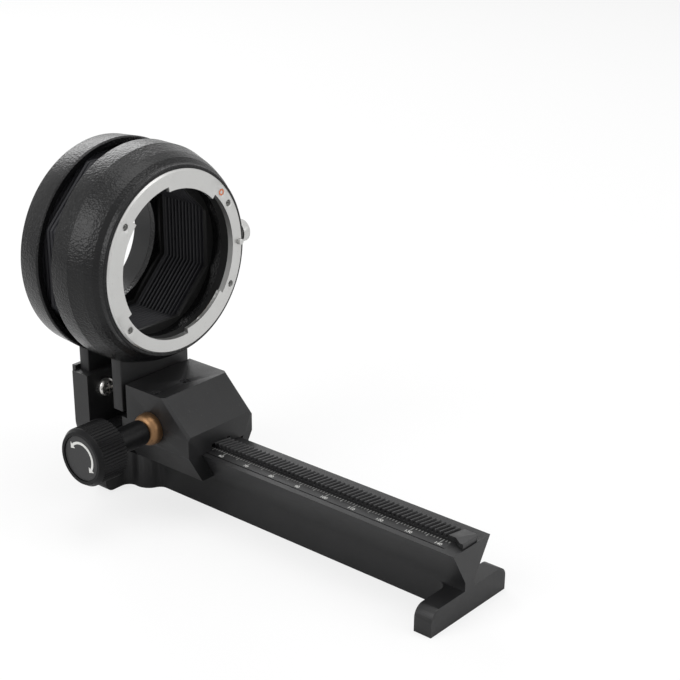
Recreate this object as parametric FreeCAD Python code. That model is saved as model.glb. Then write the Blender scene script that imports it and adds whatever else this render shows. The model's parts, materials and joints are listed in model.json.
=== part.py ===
import FreeCAD, Part
import math
import os

os.makedirs("parts", exist_ok=True)

# Macro bellows unit. Lengths in mm, angles in degrees.
# +Z is up, the rail and the optical axis run along Y, the lens side faces -Y.
# The origin is the mouth of the tripod socket, in the plane that the feet stand on.
# Distances called "station" are measured rearwards from the rail's rear face, so most are negative.

Vector = FreeCAD.Vector
AXIS_X = Vector(1, 0, 0)
AXIS_Y = Vector(0, 1, 0)
AXIS_Z = Vector(0, 0, 1)

# Fits and clearances
slide_gap = 0.08
running_gap = 0.05
seat_gap = 0.03
moving_gap = 0.35
mesh_gap = 0.04

# Rail, feet and tripod boss
rail_length = 132.0
socket_station = -9.6
rail_top = 20.9
rail_half = 8.35
flank_angle = 30.0
web_half = 2.25
foot_half = 17.0
foot_thickness = 5.7
foot_height = 7.7
foot_corner = 3.4
rear_foot_corner = 3.0
foot_fillet = 3.0
boss_fillet = 3.0
boss_half = 7.4
boss_radius = 5.6
boss_rise = 1.0
insert_radius = 4.4
socket_radius = 3.175
socket_depth = 8.0

# Toothed rack and its pinion
gear_module = 0.5
pinion_teeth = 19
pressure_angle = 20.0
helix_angle = 13.0
rack_width = 5.45
rack_offset = 0.875
rack_rise = 1.7
rack_seat = 1.0
rack_start = 0.4
rack_end_margin = 1.0
rack_smooth_end = 3.6
rack_corner = 1.4
rack_head_reach = 1.8
rack_head_length = 1.0
rack_overrun = 1.0
pinion_station = -24.0
pinion_width = 4.6
backlash = 0.06

# Distance scale on the rail's left margin
scale_width = 4.0
scale_thickness = 0.3
scale_start = 4.6
groove_width = 0.35
groove_depth = 0.3

# Carriage
jaw_reach = 5.35
carriage_front = -39.7
carriage_slope_top = -29.6
carriage_rear = -13.4
carriage_ledge_rear = -11.1
ledge_drop = 1.8
carriage_ring_gap = 4.2
carriage_rise = 17.1
nose_rise = 5.5
shoulder_rise = 0.6
jaw_drop = 8.7
gib_thickness = 1.1
gib_end_margin = 0.7
gib_screw_radius = 1.25
gib_screw_spread = 10.45
gib_screw_rise = 2.4
edge_chamfer = 0.8
top_screw_radius = 1.5
top_screw_depth = 4.0
top_screw_offset = 11.7
top_screw_station = -24.8

# Front standard
mount_face_station = -23.8
lip_station = -23.1
lip_width = 1.1
flare_station = -21.4
cone_station = -17.4
cone_radius = 31.6
band_station = -12.9
band_radius = 33.1
front_ring_rear = -5.8
front_ring_radius = 33.3
ring_wall = 1.6
edge_break = 0.5
throat_radius = 24.0
front_cavity_station = -14.6
front_leg_station = -12.2
front_leg_thickness = 4.2
front_leg_drop = 3.7
leg_half = 14.2

# Lens mount ring
mount_radius = 27.6
mount_thickness = 2.0
sleeve_wall = 0.95
sleeve_length = 3.0
mount_recess_radius = 23.4
mount_tab_reach = 1.5
mount_tab_thickness = 1.3
first_tab = (19.0, 50.0)
second_tab = (150.0, 44.0)
third_tab = (277.5, 73.0)
mount_screw_circle = 25.3
mount_screw_angles = (59.0, 119.6, 232.3, 307.9)
index_angle = 48.0
index_circle = 25.4
index_radius = 1.1
lock_pin_angle = 90.0
lock_pin_circle = 26.1
lock_pin_radius = 0.9
lock_pin_proud = 1.1
lock_pin_length = 4.6
lock_pin_travel = 1.3
leaf_thickness = 0.35
leaf_span = 26.0

# Release button
button_station = -19.2
button_rise = 1.1
button_radius = 1.9
button_proud = 3.6
button_travel = 1.3
button_stem_radius = 0.9
button_stem_length = 2.4
button_flange = 0.45
collar_radius = 3.5
collar_height = 2.0
block_width = 2.4
block_height = 2.7
block_rear_station = -16.8
ramp_width = 1.4
spring_radius = 0.75
spring_wire = 0.3
spring_turn_count = 3

# Rear standard
rear_ring_front = 0.3
rear_ring_rear = 9.0
rear_ring_front_radius = 33.1
rear_ring_rear_radius = 32.5
rear_wall = 1.9
rear_leg_station = 2.4
rear_leg_thickness = 4.0
rear_leg_drop = 7.9
flange_radius = 28.5
flange_face_station = 11.6
shoulder_reach = 1.3
shoulder_height = 0.9
register_step = 0.4
barrel_radius = 22.0
barrel_wall = 1.6
barrel_end_station = 16.4
lug_reach = 1.2
lug_thickness = 1.6
lug_span = 56.0
lug_middles = (8.0, 107.0, 270.0)
rear_grub_radius = 1.2

# Bellows
bellows_corner_radius = 30.6
bellows_wall = 1.6
bellows_pleat_count = 13
frame_thickness = 1.3
frame_corner_radius = 23.2

# Rear bracket and clamp plate
bracket_station = 0.2
bracket_rear_station = 7.0
bracket_ring_gap = 4.4
bracket_sill = 11.5
bracket_large_corner = 8.5
bracket_small_corner = 3.0
clamp_lip = 1.4
clamp_drop = 4.4
clamp_rise = 1.3
clamp_thickness = 1.5

# Fasteners
screw_head_radius = 3.0
screw_head_height = 1.7
screw_shank_radius = 1.45
screw_spread = 10.0
screw_drop = 5.6
screw_depth = 5.0
clamp_screw_length = 3.6
leg_screw_length = 3.8
small_screw_head = 1.0
small_screw_head_height = 0.7
small_screw_sink = 1.2
small_screw_shank = 0.7
small_screw_length = 3.2
grub_sink = 0.3

# Focusing knob and its shaft
shaft_radius = 2.0
bush_radius = 5.0
bush_proud = 4.0
bush_depth = 5.0
bush_body_radius = 4.3
neck_radius = 3.9
knob_radius = 9.0
knob_inner = 31.5
knob_outer = 42.0
knob_web = 1.5
knob_groove_count = 54
groove_cut = 0.45
knob_rim = 1.5
cap_radius = 6.9
cap_thickness = 0.8
cap_recess = 0.4
shaft_end_proud = 0.2

# Lock knob, square to the right jaw's slanted face
lock_station = -26.6
lock_rise = 2.6
lock_stud_radius = 2.0
lock_stud_gap = 2.6
lock_thread_radius = 1.4
lock_knob_radius = 3.9
lock_knob_length = 9.6
lock_knob_flute_count = 18
flute_cut = 0.35

ledge = 0.25
hollow_run = 60.0
pin_run = 40.0


def at(station):
    """Row y of a distance measured rearwards from the rail's rear face."""
    return station - socket_station


def box(x0, x1, y0, y1, z0, z1):
    """Block between two corners."""
    return Part.makeBox(x1 - x0, y1 - y0, z1 - z0, Vector(x0, y0, z0))


def rod(radius, length, base, direction):
    """Solid cylinder from base along direction."""
    return Part.makeCylinder(radius, length, base, direction)


def plate_xz(points, y0, y1):
    """Closed outline in X and Z, drawn out from y0 to y1."""
    corners = [Vector(x, y0, z) for x, z in points]
    face = Part.Face(Part.makePolygon(corners + corners[:1]))
    return face.extrude(Vector(0, y1 - y0, 0))


def plate_yz(points, x0, x1):
    """Closed outline in Y and Z, drawn out from x0 to x1."""
    corners = [Vector(x0, y, z) for y, z in points]
    face = Part.Face(Part.makePolygon(corners + corners[:1]))
    return face.extrude(Vector(x1 - x0, 0, 0))


def turned(profile):
    """Profile of (station, radius) points spun about the optical axis."""
    corners = [Vector(radius, at(station), axis_height) for station, radius in profile]
    face = Part.Face(Part.makePolygon(corners + corners[:1]))
    return face.revolve(Vector(0, 0, axis_height), AXIS_Y, 360)


def washer(station0, station1, outer, inner):
    """Flat ring on the optical axis."""
    return turned([(station0, inner), (station0, outer), (station1, outer), (station1, inner)])


def sector(station0, station1, outer, inner, middle, span):
    """Part of a flat ring; angles run clockwise from the top, seen from the lens side."""
    face_start = Vector(inner, at(station0), axis_height)
    corners = [face_start, Vector(outer, at(station0), axis_height)]
    corners.append(Vector(outer, at(station1), axis_height))
    corners.append(Vector(inner, at(station1), axis_height))
    face = Part.Face(Part.makePolygon(corners + corners[:1]))
    face.rotate(Vector(0, 0, axis_height), AXIS_Y, middle - 90 - span / 2)
    return face.revolve(Vector(0, 0, axis_height), AXIS_Y, span)


def on_circle(angle, radius, station):
    """Point on a circle about the optical axis, clockwise from the top seen from the lens side."""
    turn = math.radians(angle)
    return Vector(radius * math.sin(turn), at(station), axis_height + radius * math.cos(turn))


def octagon(station, corner_radius):
    """Octagon with flat sides left, right, above and below."""
    corners = [on_circle(22.5 + 45 * k, corner_radius, station) for k in range(8)]
    return Part.makePolygon(corners + corners[:1])


def cross_recess(base, direction, size, depth):
    """Two crossed slots that open at base and go down against direction."""
    slot_a = Part.makeBox(2 * size, 0.5 * size, depth, Vector(-size, -0.25 * size, -depth))
    slot_b = Part.makeBox(0.5 * size, 2 * size, depth, Vector(-0.25 * size, -size, -depth))
    both = slot_a.fuse(slot_b)
    both.Placement = FreeCAD.Placement(base, FreeCAD.Rotation(AXIS_Z, direction))
    return both


def pan_screw(seat, direction, head_radius, head_height, shank_radius, length):
    """Crosshead screw whose head rises from seat along direction, shank going the other way."""
    head = rod(head_radius, head_height, seat, direction)
    top_edge = max(head.Edges, key=lambda edge: edge.CenterOfMass.dot(direction))
    head = head.makeFillet(head_height * 0.6, [top_edge])
    shank = rod(shank_radius, length, seat, direction * -1)
    top = seat + direction * head_height
    recess = cross_recess(top, direction, head_radius * 0.55, head_height * 0.6)
    return head.fuse(shank).removeSplitter().cut(recess)


def grub_screw(mouth, direction, radius, length):
    """Headless screw below mouth, with a hexagon socket."""
    body = rod(radius, length, mouth - direction * length, direction)
    corners = []
    for k in range(7):
        turn = math.radians(60 * k)
        corners.append(Vector(0.5 * radius * math.cos(turn), 0.5 * radius * math.sin(turn), 0))
    socket = Part.Face(Part.makePolygon(corners)).extrude(Vector(0, 0, -length * 0.4))
    socket.Placement = FreeCAD.Placement(mouth, FreeCAD.Rotation(AXIS_Z, direction))
    return body.cut(socket)


def grooved_rod(radius, length, base, direction, count, cut):
    """Rod whose side carries straight V grooves."""
    corners = []
    for k in range(2 * count):
        turn = math.pi * k / count
        reach = radius - cut * (k % 2)
        corners.append(Vector(reach * math.cos(turn), reach * math.sin(turn), 0))
    shape = Part.Face(Part.makePolygon(corners + corners[:1])).extrude(Vector(0, 0, length))
    shape.Placement = FreeCAD.Placement(base, FreeCAD.Rotation(AXIS_Z, direction))
    return shape


def save(name, shape):
    """Write one sub-part and report its size."""
    shape.exportStep("parts/" + name + ".step")
    print(name, len(shape.Solids), shape.isValid(), round(shape.Volume, 1))


# Derived values
slope = math.tan(math.radians(flank_angle))
rail_front = -rail_length
flank_normal = Vector(math.cos(math.radians(flank_angle)), 0, -math.sin(math.radians(flank_angle)))
waist_height = rail_top - (rail_half - web_half) / slope
helix = math.tan(math.radians(helix_angle))
cross_module = gear_module / math.cos(math.radians(helix_angle))
cross_pressure = math.atan(math.tan(math.radians(pressure_angle)) / math.cos(math.radians(helix_angle)))
tooth_pitch = math.pi * cross_module
pitch_radius = cross_module * pinion_teeth / 2
rack_top = rail_top + rack_rise
rack_pitch_line = rack_top - gear_module
shaft_height = rack_pitch_line + pitch_radius + mesh_gap
shaft_y = at(pinion_station)
rack_left = rack_offset - rack_width / 2
rack_right = rack_offset + rack_width / 2
scale_right = rack_left - 2 * seat_gap - 0.1
rear_foot_front = -foot_thickness
mount_tab_radius = mount_recess_radius - mount_tab_reach
sleeve_radius = mount_recess_radius + sleeve_wall
lip_radius = mount_radius + lip_width
barrel_bore = barrel_radius - barrel_wall
shoulder_radius = barrel_radius + shoulder_reach
lug_radius = barrel_radius + lug_reach
carriage_half = rail_half + jaw_reach
jaw_shoulder = rail_top + shoulder_rise
jaw_bottom = rail_top - jaw_drop
gib_screw_height = jaw_bottom + gib_screw_rise
lock_height = jaw_bottom + lock_rise
carriage_nose_top = rack_top + nose_rise
carriage_top = rail_top + carriage_rise
axis_height = carriage_top + carriage_ring_gap + front_ring_radius
bracket_top = axis_height - rear_ring_front_radius - bracket_ring_gap
screw_height = bracket_top - screw_drop
front_leg_bottom = screw_height - front_leg_drop
rear_leg_bottom = screw_height - rear_leg_drop
bracket_bottom = rear_leg_bottom - bracket_sill
carriage_ledge_top = front_leg_bottom - ledge_drop
clamp_half = leg_half + clamp_lip
clamp_bottom = screw_height - clamp_drop
clamp_top = bracket_top + clamp_rise
tabs = (first_tab, second_tab, third_tab)
mount_seat_station = mount_face_station + mount_thickness
front_cavity_radius = band_radius - ring_wall
rear_cavity_radius = rear_ring_rear_radius - ring_wall
frame_front_face = front_cavity_station + frame_thickness
rear_cavity_station = rear_ring_rear - rear_wall
frame_rear_face = rear_cavity_station - frame_thickness
front_leg_rear = front_leg_station + front_leg_thickness
rear_leg_rear = rear_leg_station + rear_leg_thickness
carriage_shaft_hole = shaft_radius + running_gap
shaft_in_knob = knob_outer - knob_inner - cap_thickness - cap_recess - knob_web


def flank_half(height):
    """Half width of the dovetail at a height."""
    return rail_half - (rail_top - height) * slope


def inside_corner(start, finish, buried, centre, radius, height):
    """Upright fillet between two walls: a three-sided post, its third edge buried and one side hollowed."""
    points = [Vector(x, y, 0) for x, y in (start, finish, buried)]
    post = Part.Face(Part.makePolygon(points + points[:1])).extrude(Vector(0, 0, height))
    return post.cut(rod(radius, height, Vector(centre[0], centre[1], 0), AXIS_Z))


def rail_fillets(side):
    """Fillets of one side: front foot to web, web to tripod boss, boss to rear foot."""
    foot = at(rail_front + foot_thickness)
    fillets = [inside_corner((side * web_half, foot + foot_fillet), (side * (web_half + foot_fillet), foot),
                             (side * web_half, foot), (side * (web_half + foot_fillet), foot + foot_fillet),
                             foot_fillet, foot_height)]
    boss_end = boss_half - boss_radius
    reach = boss_radius + boss_fillet
    touch = boss_radius / reach
    height = waist_height + boss_rise
    x = web_half + boss_fillet
    y = -math.sqrt(reach ** 2 - (x - boss_end) ** 2)
    fillets.append(inside_corner((side * web_half, y), (side * (boss_end + (x - boss_end) * touch), y * touch),
                                 (side * (web_half - ledge), y / 2), (side * x, y), boss_fillet, height))
    rear = at(rear_foot_front)
    y = rear - boss_fillet
    x = boss_end + math.sqrt(reach ** 2 - y ** 2)
    fillets.append(inside_corner((side * x, rear), (side * (boss_end + (x - boss_end) * touch), y * touch),
                                 (side * x / 2, rear + ledge / 5), (side * x, y), boss_fillet, height))
    return fillets


def make_rail():
    """Dovetail rail with its feet and the tripod boss."""
    section = [
        (-web_half, 0), (web_half, 0), (web_half, waist_height), (rail_half, rail_top),
        (-rail_half, rail_top), (-web_half, waist_height),
    ]
    rail = plate_xz(section, at(rail_front), at(0))
    front = box(-foot_half, foot_half, at(rail_front), at(rail_front + foot_thickness), 0, foot_height)
    upper = [e for e in front.Edges
             if abs(e.CenterOfMass.z - foot_height) < 0.01 and abs(e.CenterOfMass.x) > 1]
    front = front.makeFillet(foot_corner, upper)
    rear = box(-foot_half, foot_half, at(rear_foot_front), at(0), 0, rail_top)
    lower = [e for e in rear.Edges if abs(e.CenterOfMass.z) < 0.01 and abs(e.CenterOfMass.x) > 1]
    rear = rear.makeFillet(rear_foot_corner, lower)
    boss_top = waist_height + boss_rise
    boss = box(-boss_half + boss_radius, boss_half - boss_radius, -boss_radius, boss_radius, 0, boss_top)
    for side in (-1, 1):
        end = Vector(side * (boss_half - boss_radius), 0, 0)
        boss = boss.fuse(rod(boss_radius, boss_top, end, AXIS_Z))
    rail = rail.fuse([front, rear, boss]).removeSplitter()
    for side in (-1, 1):
        for fillet in rail_fillets(side):
            rail = rail.fuse(fillet)
    rail = rail.removeSplitter()
    rail = rail.cut(rod(insert_radius + seat_gap, socket_depth, Vector(0, 0, 0), AXIS_Z))
    rail = rail.cut(rack_blank(seat_gap, rail_top - rack_seat, rack_top))
    rail = rail.cut(scale_plate(seat_gap))
    groove_x = scale_right - scale_width
    return rail.cut(box(groove_x - groove_width, groove_x, at(rail_front + scale_start), at(-rack_end_margin),
                        rail_top - groove_depth, rail_top + 1))


def rack_blank(gap, bottom, top):
    """Strip that the rack teeth are cut in, with a head at its front that is wider to the left."""
    front = at(rail_front + rack_start) - gap
    rear = at(-rack_end_margin) + gap
    head_left = rack_left - rack_head_reach - gap
    outline = [(rack_right + gap, front), (rack_right + gap, rear), (rack_left - gap, rear),
               (rack_left - gap, at(rail_front + rack_start + rack_smooth_end) + gap),
               (head_left, at(rail_front + rack_start + rack_head_length) + gap), (head_left, front)]
    corners = [Vector(x, y, bottom) for x, y in outline]
    strip = Part.Face(Part.makePolygon(corners + corners[:1])).extrude(Vector(0, 0, top - bottom))
    corner = [e for e in strip.Edges
              if abs(e.CenterOfMass.y - front) < 0.01 and abs(e.CenterOfMass.x - rack_right - gap) < 0.01]
    return strip.makeFillet(rack_corner, corner)


def scale_plate(gap):
    """Thin engraved plate let into the rail's left margin."""
    return box(scale_right - scale_width - gap, scale_right + gap, at(rail_front + scale_start) - gap,
               at(-rack_end_margin) + gap, rail_top - scale_thickness - gap, rail_top + gap)


def make_rack():
    """Rack strip with slanted teeth; midway across it a gap lies straight under the pinion."""
    strip = rack_blank(0, rail_top - rack_seat, rack_top)
    depth = 1.25 * gear_module + gear_module
    lean = math.tan(cross_pressure)
    half_top = tooth_pitch / 4 + backlash / 2 + gear_module * lean
    half_bottom = half_top - depth * lean
    first = math.ceil((rail_front + rack_start + rack_smooth_end + tooth_pitch - pinion_station) / tooth_pitch)
    last = math.floor((-rack_end_margin - 2 * tooth_pitch - pinion_station) / tooth_pitch)
    half_run = rack_width / 2 + rack_overrun
    gaps = []
    for k in range(first, last + 1):
        middle = at(pinion_station + k * tooth_pitch) + half_run * helix
        outline = [(middle - half_top, rack_top), (middle + half_top, rack_top),
                   (middle + half_bottom, rack_top - depth), (middle - half_bottom, rack_top - depth)]
        corners = [Vector(rack_offset - half_run, y, z) for y, z in outline]
        face = Part.Face(Part.makePolygon(corners + corners[:1]))
        gaps.append(face.extrude(Vector(2 * half_run, -2 * half_run * helix, 0)))
    return strip.cut(Part.makeCompound(gaps))


def pinion_section(across):
    """Outline of the pinion at a distance to the right of its middle, turned by its helix."""
    base_radius = pitch_radius * math.cos(cross_pressure)
    tip_radius = pitch_radius + gear_module * 0.96
    root_radius = pitch_radius - 1.2 * gear_module
    half_thick = (tooth_pitch / 2 - backlash) / 2 / pitch_radius
    involute_at_pitch = math.tan(cross_pressure) - cross_pressure
    flank = []
    steps = 4
    for k in range(steps + 1):
        radius = base_radius + (tip_radius - base_radius) * k / steps
        press = math.acos(min(1.0, base_radius / radius))
        flank.append((radius, half_thick + involute_at_pitch - (math.tan(press) - press)))
    side = [(root_radius, flank[0][1])] + flank
    corners = []
    for tooth in range(pinion_teeth):
        middle = 2 * math.pi * tooth / pinion_teeth - math.pi / 2 - across * helix / pitch_radius
        for radius, half in side:
            corners.append((radius, middle - half))
        for radius, half in reversed(side):
            corners.append((radius, middle + half))
    x = rack_offset + across
    points = [Vector(x, shaft_y + r * math.cos(a), shaft_height + r * math.sin(a)) for r, a in corners]
    return Part.makePolygon(points + points[:1])


def make_pinion():
    """Helical involute pinion whose middle section has a tooth pointing straight down at rest."""
    slices = 4
    sections = [pinion_section(pinion_width * (k / slices - 0.5)) for k in range(slices + 1)]
    gear = Part.makeLoft(sections, True, True)
    left = rack_offset - pinion_width / 2
    return gear.cut(rod(shaft_radius + seat_gap, pinion_width, Vector(left, shaft_y, shaft_height), AXIS_X))


def make_carriage():
    """Saddle that slides on the dovetail and carries the front standard."""
    gib_room = (gib_thickness + slide_gap) / math.cos(math.radians(flank_angle))
    jaw_half = carriage_half - (jaw_shoulder - jaw_bottom) * slope
    inner = flank_half(jaw_bottom) + slide_gap / math.cos(math.radians(flank_angle))
    roof = rail_top + slide_gap
    roof_half = flank_half(roof) + slide_gap / math.cos(math.radians(flank_angle))
    section = [
        (-carriage_half, carriage_top), (-carriage_half, jaw_shoulder), (-jaw_half, jaw_bottom),
        (-inner, jaw_bottom), (-roof_half, roof), (roof_half + gib_room, roof),
        (inner + gib_room, jaw_bottom), (jaw_half, jaw_bottom), (carriage_half, jaw_shoulder),
        (carriage_half, carriage_top),
    ]
    body = plate_xz(section, at(carriage_front), at(carriage_ledge_rear))
    side = [
        (at(carriage_front), jaw_bottom - 1), (at(carriage_front), carriage_nose_top),
        (at(carriage_slope_top), carriage_top), (at(carriage_rear), carriage_top),
        (at(carriage_rear), carriage_ledge_top), (at(carriage_ledge_rear), carriage_ledge_top),
        (at(carriage_ledge_rear), jaw_bottom - 1),
    ]
    body = body.common(plate_yz(side, -carriage_half - 1, carriage_half + 1))
    slanted = []
    for edge in body.Edges:
        middle = edge.CenterOfMass
        on_slope = abs(middle.y - at((carriage_front + carriage_slope_top) / 2)) < 0.1
        if on_slope and abs(abs(middle.x) - carriage_half) < 0.01 and middle.z > carriage_nose_top:
            slanted.append(edge)
    body = body.makeChamfer(edge_chamfer, slanted)
    pad = box(-leg_half + 3, leg_half - 3, at(carriage_rear), at(front_leg_station),
              front_leg_bottom + 1, carriage_top - 0.6)
    body = body.fuse(pad).removeSplitter()
    tunnel = box(rack_left - rack_head_reach - moving_gap, rack_right + moving_gap, at(carriage_front) - 1,
                 at(carriage_ledge_rear) + 1, rail_top - 1, rack_top + moving_gap)
    pocket_half = pinion_width / 2 + moving_gap
    pocket_radius = pitch_radius + gear_module + moving_gap
    pocket = rod(pocket_radius, 2 * pocket_half,
                 Vector(rack_offset - pocket_half, shaft_y, shaft_height), AXIS_X)
    well = box(rack_offset - pocket_half, rack_offset + pocket_half, shaft_y - pocket_radius,
               shaft_y + pocket_radius, rail_top - 1, shaft_height)
    shaft_hole = rod(carriage_shaft_hole, 2 * carriage_half + 2,
                     Vector(-carriage_half - 1, shaft_y, shaft_height), AXIS_X)
    bush_hole = rod(bush_body_radius, bush_depth, Vector(-carriage_half, shaft_y, shaft_height), AXIS_X)
    body = body.cut([tunnel, pocket, well, shaft_hole, bush_hole])
    for mouth, direction in gib_screw_places():
        body = body.cut(rod(gib_screw_radius + seat_gap, 12, mouth - direction * 12, direction))
    seat = lock_seat()
    body = body.cut(rod(lock_thread_radius + running_gap, 12, seat - flank_normal * 8, flank_normal))
    for x in (0.0, -top_screw_offset):
        mouth = Vector(x, at(top_screw_station), carriage_top)
        body = body.cut(rod(top_screw_radius + seat_gap, top_screw_depth, mouth, AXIS_Z * -1))
    for side_x in (-1, 1):
        hole = Vector(side_x * screw_spread, at(front_leg_station), screw_height)
        body = body.cut(rod(screw_shank_radius + seat_gap, 6.0, hole, AXIS_Y * -1))
    return body


def jaw_face_x(height):
    """Half width of the carriage on the jaw's slanted outer face."""
    return carriage_half - (jaw_shoulder - height) * slope


def gib_screw_places():
    """Mouth and outward direction of each gib screw."""
    places = []
    for side in (-1, 1):
        station = lock_station + side * gib_screw_spread
        mouth = Vector(jaw_face_x(gib_screw_height), at(station), gib_screw_height)
        places.append((mouth, flank_normal))
    return places


def lock_seat():
    """Point on the right jaw's slanted face where the lock stud comes out."""
    return Vector(jaw_face_x(lock_height), at(lock_station), lock_height)


def make_gib():
    """Strip between the right jaw and the rail that takes up play."""
    low = jaw_bottom + 0.2
    high = rail_top - 0.2
    near = slide_gap / math.cos(math.radians(flank_angle))
    far = (slide_gap + gib_thickness) / math.cos(math.radians(flank_angle)) - seat_gap
    outline = [(flank_half(low) + near, low), (flank_half(high) + near, high),
               (flank_half(high) + far, high), (flank_half(low) + far, low)]
    return plate_xz(outline, at(carriage_front + gib_end_margin), at(carriage_ledge_rear - gib_end_margin))


def gib_back(mouth):
    """Distance from a point on the jaw's face to the back of the gib, square to the face."""
    face_offset = (mouth - Vector(rail_half, mouth.y, rail_top)).dot(flank_normal)
    return face_offset - slide_gap - gib_thickness


def make_lens_mount():
    """Bright bayonet ring with three tabs, screw holes and the lock pin's hole."""
    front = mount_face_station
    ring = turned([
        (front, mount_recess_radius), (front, mount_radius - edge_break), (front + edge_break, mount_radius),
        (mount_seat_station, mount_radius), (mount_seat_station, mount_recess_radius),
    ])
    for middle, span in tabs:
        tab = sector(front, front + mount_tab_thickness, mount_recess_radius + ledge, mount_tab_radius,
                     middle, span)
        ring = ring.fuse(tab)
    ring = ring.removeSplitter()
    for angle in mount_screw_angles:
        mouth = on_circle(angle, mount_screw_circle, front)
        ring = ring.cut(rod(small_screw_head + seat_gap, small_screw_sink, mouth, AXIS_Y))
        ring = ring.cut(rod(small_screw_shank + seat_gap, 6.0, mouth, AXIS_Y))
    pin = on_circle(lock_pin_angle, lock_pin_circle, front)
    ring = ring.cut(rod(lock_pin_radius + running_gap, 6.0, pin - AXIS_Y, AXIS_Y))
    dot = on_circle(index_angle, index_circle, front)
    ring = ring.cut(rod(index_radius + seat_gap, 0.5, dot, AXIS_Y))
    return ring


def make_front_standard():
    """Front ring with its leg, bored for the mount, the throat and the bellows."""
    seat = mount_seat_station
    ring = turned([
        (lip_station, mount_radius + seat_gap), (lip_station, lip_radius - edge_break / 2),
        (lip_station + edge_break / 2, lip_radius), (flare_station, lip_radius), (cone_station, cone_radius),
        (band_station, band_radius), (front_ring_rear - edge_break, front_ring_radius),
        (front_ring_rear, front_ring_radius - edge_break), (front_ring_rear, front_cavity_radius),
        (front_cavity_station, front_cavity_radius), (front_cavity_station, throat_radius),
        (seat + sleeve_length, throat_radius), (seat + sleeve_length, sleeve_radius + seat_gap),
        (seat, sleeve_radius + seat_gap), (seat, mount_radius + seat_gap),
    ])
    leg = box(-leg_half, leg_half, at(front_leg_station), at(front_leg_rear), front_leg_bottom, axis_height)
    hollow = rod(band_radius - ring_wall / 2, hollow_run,
                 Vector(0, at(front_leg_station) - hollow_run / 2, axis_height),
                 AXIS_Y)
    standard = ring.fuse(leg.cut(hollow)).removeSplitter()
    for side in (-1, 1):
        hole = Vector(side * screw_spread, at(front_leg_station) - 1, screw_height)
        standard = standard.cut(rod(screw_shank_radius + seat_gap, 10, hole, AXIS_Y))
    for angle in mount_screw_angles:
        base = on_circle(angle, mount_screw_circle, seat)
        length = small_screw_length + small_screw_sink - mount_thickness + 0.2
        standard = standard.cut(rod(small_screw_shank + seat_gap, length, base, AXIS_Y))
    pin = on_circle(lock_pin_angle, lock_pin_circle, mount_face_station)
    standard = standard.cut(rod(lock_pin_radius + running_gap, lock_pin_length, pin, AXIS_Y))
    button = button_centre()
    well = rod(button_radius + button_flange + moving_gap, 10.0,
               Vector(block_outer(), button.y, button.z), AXIS_X)
    room = moving_gap
    low = block_low()
    pocket = box(low.x - room, block_outer() + room, low.y - room, at(front_cavity_station) + 0.01,
                 low.z - room, low.z + block_height + room)
    return standard.cut([well, pocket])


def block_outer():
    """Outer X of the lock block."""
    return lock_pin_circle + lock_pin_radius + 0.7


def block_low():
    """Lowest corner of the lock block: inner side, front face and underside."""
    tip = button_centre().x - button_stem_length
    front = at(button_station) + (block_outer() - ramp_width - tip) + mesh_gap * 2
    return Vector(block_outer() - block_width, front, axis_height + button_rise - block_height * 0.62)


def make_lock_block():
    """Block on the lock pin's rear end, with a ramp that the button's stem pushes on."""
    low = block_low()
    outer = block_outer()
    rear = at(block_rear_station)
    points = [Vector(low.x, low.y, low.z), Vector(outer - ramp_width, low.y, low.z),
              Vector(outer, low.y + ramp_width, low.z), Vector(outer, rear, low.z), Vector(low.x, rear, low.z)]
    block = Part.Face(Part.makePolygon(points + points[:1])).extrude(Vector(0, 0, block_height))
    return block.cut(rod(lock_pin_radius + seat_gap, pin_run, pin_end() + AXIS_Y * seat_gap, AXIS_Y * -1))


def pin_end():
    """Rear end of the lock pin, inside its block."""
    return on_circle(lock_pin_angle, lock_pin_circle, mount_face_station - lock_pin_proud + lock_pin_length)


def make_lock_spring():
    """Coil spring that pushes the lock block forwards and, by the ramp, the button out."""
    low = block_low()
    start = Vector(low.x + block_width / 2, at(block_rear_station) + spring_wire / 2 + seat_gap,
                   low.z + block_height / 2)
    length = front_cavity_station - block_rear_station - spring_wire - 2 * seat_gap
    path = Part.Wire(Part.makeHelix(length / spring_turn_count, length, spring_radius))
    section = Part.Wire(Part.makeCircle(spring_wire / 2, Vector(spring_radius, 0, 0), AXIS_Y))
    coil = path.makePipeShell([section], True, True)
    coil.Placement = FreeCAD.Placement(start, FreeCAD.Rotation(AXIS_Z, AXIS_Y))
    return coil


def button_centre():
    """Where the button's axis meets the front ring's side."""
    share = (button_station - flare_station) / (cone_station - flare_station)
    side = lip_radius + (cone_radius - lip_radius) * share
    return Vector(side, at(button_station), axis_height + button_rise)


def make_button_collar():
    """Stepped sleeve that guides the release button."""
    seat = button_centre()
    collar = rod(collar_radius, collar_height + 0.6, seat - AXIS_X * 0.6, AXIS_X)
    step = rod(collar_radius - 0.8, 0.7, seat + AXIS_X * collar_height, AXIS_X)
    collar = collar.fuse(step).removeSplitter()
    collar = collar.cut(rod(button_radius + running_gap, 8, seat - AXIS_X * 2, AXIS_X))
    under = seat.x - 0.6 + seat_gap
    well = rod(button_radius + button_flange + moving_gap, 8, Vector(under, seat.y, seat.z), AXIS_X * -1)
    collar = collar.cut(well)
    ring = turned([(flare_station, 0), (flare_station, lip_radius + seat_gap),
                   (cone_station, cone_radius + seat_gap), (cone_station + 3, cone_radius + 1.2),
                   (cone_station + 3, 0)])
    return collar.cut(ring)


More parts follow.
